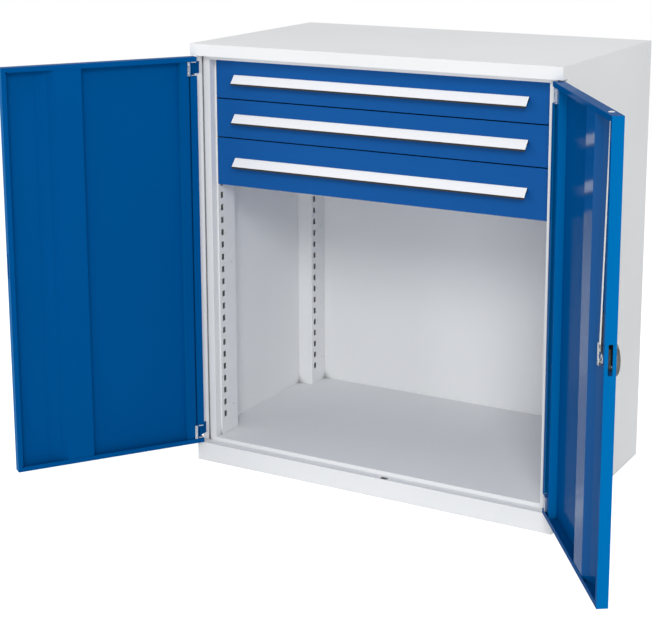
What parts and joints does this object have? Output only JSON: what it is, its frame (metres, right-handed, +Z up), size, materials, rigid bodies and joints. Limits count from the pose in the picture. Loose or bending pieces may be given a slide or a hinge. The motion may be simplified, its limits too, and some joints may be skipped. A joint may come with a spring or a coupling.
{
  "type": "tool cabinet with doors",
  "caption": "Grey sheet-metal tool cabinet with blue hinged doors, a rod lock, telescopic drawers under the top and an open compartment.",
  "frame": {"origin": "on the floor under the centre of the body, at the middle of the floor beam's underside", "axes": "+X to the right seen from the front, +Y from the front to the back, +Z up; the doors rest open at 125 degrees"},
  "size_m": [1.5668, 1.0111, 1.105],
  "materials": {
    "grey_body": "satin",
    "blue_doors": "satin",
    "zinc": "satin",
    "bright_metal": "brushed",
    "white_label": "matte",
    "white_plastic": "matte"
  },
  "bodies": {
    "cabinet": {"side_panel_left": "grey_body", "side_panel_right": "grey_body", "back_panel": "grey_body", "top_cover": "grey_body", "header_rail": "grey_body", "floor_shelf": "grey_body", "floor_beam": "grey_body", "plinth": "grey_body", "upright_front_left": "grey_body", "upright_front_right": "grey_body", "upright_rear_left": "grey_body", "upright_rear_right": "grey_body", "hinge_brackets": "zinc", "slide_fixed_1": "zinc", "slide_fixed_2": "zinc", "slide_fixed_3": "zinc"},
    "left_door": {"door_skin_left": "blue_doors", "door_stiffener_left": "blue_doors", "door_stile_left": "blue_doors", "hinge_carriers_left": "zinc", "hinge_pins_left": "zinc"},
    "right_door": {"door_skin_right": "blue_doors", "door_stiffener_right": "blue_doors", "door_stile_right": "blue_doors", "hinge_carriers_right": "zinc", "hinge_pins_right": "zinc", "rose": "bright_metal", "lock_bush": "zinc", "lock_case": "zinc", "rod_bushes": "white_plastic"},
    "turning_knob": {"knob": "bright_metal", "lock_rotor": "zinc", "lock_cam": "zinc", "lock_cylinder": "zinc"},
    "upper_rod": {"rod_upper": "zinc", "rod_link_upper": "zinc"},
    "lower_rod": {"rod_lower": "zinc", "rod_link_lower": "zinc"},
    "side_latch": {"latch": "zinc"},
    "drawer_1": {"drawer_box_1": "blue_doors", "drawer_front_1": "blue_doors", "drawer_handle_1": "bright_metal", "drawer_label_1": "white_label", "slide_drawer_1": "zinc"},
    "middle_slides_1": {"slide_middle_1": "zinc"},
    "drawer_2": {"drawer_box_2": "blue_doors", "drawer_front_2": "blue_doors", "drawer_handle_2": "bright_metal", "drawer_label_2": "white_label", "slide_drawer_2": "zinc"},
    "middle_slides_2": {"slide_middle_2": "zinc"},
    "drawer_3": {"drawer_box_3": "blue_doors", "drawer_front_3": "blue_doors", "drawer_handle_3": "bright_metal", "drawer_label_3": "white_label", "slide_drawer_3": "zinc"},
    "middle_slides_3": {"slide_middle_3": "zinc"}
  },
  "joints": [
    {"name": "left_door_hinge", "type": "hinge", "parent": "cabinet", "child": "left_door", "pos_m": [-0.4955, -0.295, 0.5], "axis": [0, 0, -1], "range_deg": [-125, 0]},
    {"name": "right_door_hinge", "type": "hinge", "parent": "cabinet", "child": "right_door", "pos_m": [0.4955, -0.295, 0.5], "axis": [0, 0, 1], "range_deg": [-125, 0]},
    {"name": "knob_turn", "type": "hinge", "parent": "right_door", "child": "turning_knob", "pos_m": [0.75426, -0.65584, 0.571], "axis": [-0.8192, -0.5736, 0], "range_deg": [-90, 0]},
    {"name": "upper_rod_slide", "type": "slide", "parent": "right_door", "child": "upper_rod", "axis": [0.0128, 0.009, 0.9999], "range_m": [0, 0.02045]},
    {"name": "lower_rod_slide", "type": "slide", "parent": "right_door", "child": "lower_rod", "axis": [0, 0, -1], "range_m": [0, 0.02045]},
    {"name": "latch_slide", "type": "slide", "parent": "right_door", "child": "side_latch", "axis": [0.5736, -0.8192, 0], "range_m": [0, 0.01315]},
    {"name": "drawer_1_slide", "type": "slide", "parent": "cabinet", "child": "drawer_1", "axis": [0, -1, 0], "range_m": [0, 0.45]},
    {"name": "middle_slides_1_slide", "type": "slide", "parent": "cabinet", "child": "middle_slides_1", "axis": [0, -1, 0], "range_m": [0, 0.225]},
    {"name": "drawer_2_slide", "type": "slide", "parent": "cabinet", "child": "drawer_2", "axis": [0, -1, 0], "range_m": [0, 0.45]},
    {"name": "middle_slides_2_slide", "type": "slide", "parent": "cabinet", "child": "middle_slides_2", "axis": [0, -1, 0], "range_m": [0, 0.225]},
    {"name": "drawer_3_slide", "type": "slide", "parent": "cabinet", "child": "drawer_3", "axis": [0, -1, 0], "range_m": [0, 0.45]},
    {"name": "middle_slides_3_slide", "type": "slide", "parent": "cabinet", "child": "middle_slides_3", "axis": [0, -1, 0], "range_m": [0, 0.225]}
  ],
  "couplings": [
    {"joint": "upper_rod_slide", "follows": "knob_turn", "m_per_rad": -0.01302},
    {"joint": "lower_rod_slide", "follows": "knob_turn", "m_per_rad": -0.01302},
    {"joint": "latch_slide", "follows": "knob_turn", "m_per_rad": -0.00837},
    {"joint": "middle_slides_1_slide", "follows": "drawer_1_slide", "ratio": 0.5},
    {"joint": "middle_slides_2_slide", "follows": "drawer_2_slide", "ratio": 0.5},
    {"joint": "middle_slides_3_slide", "follows": "drawer_3_slide", "ratio": 0.5}
  ]
}
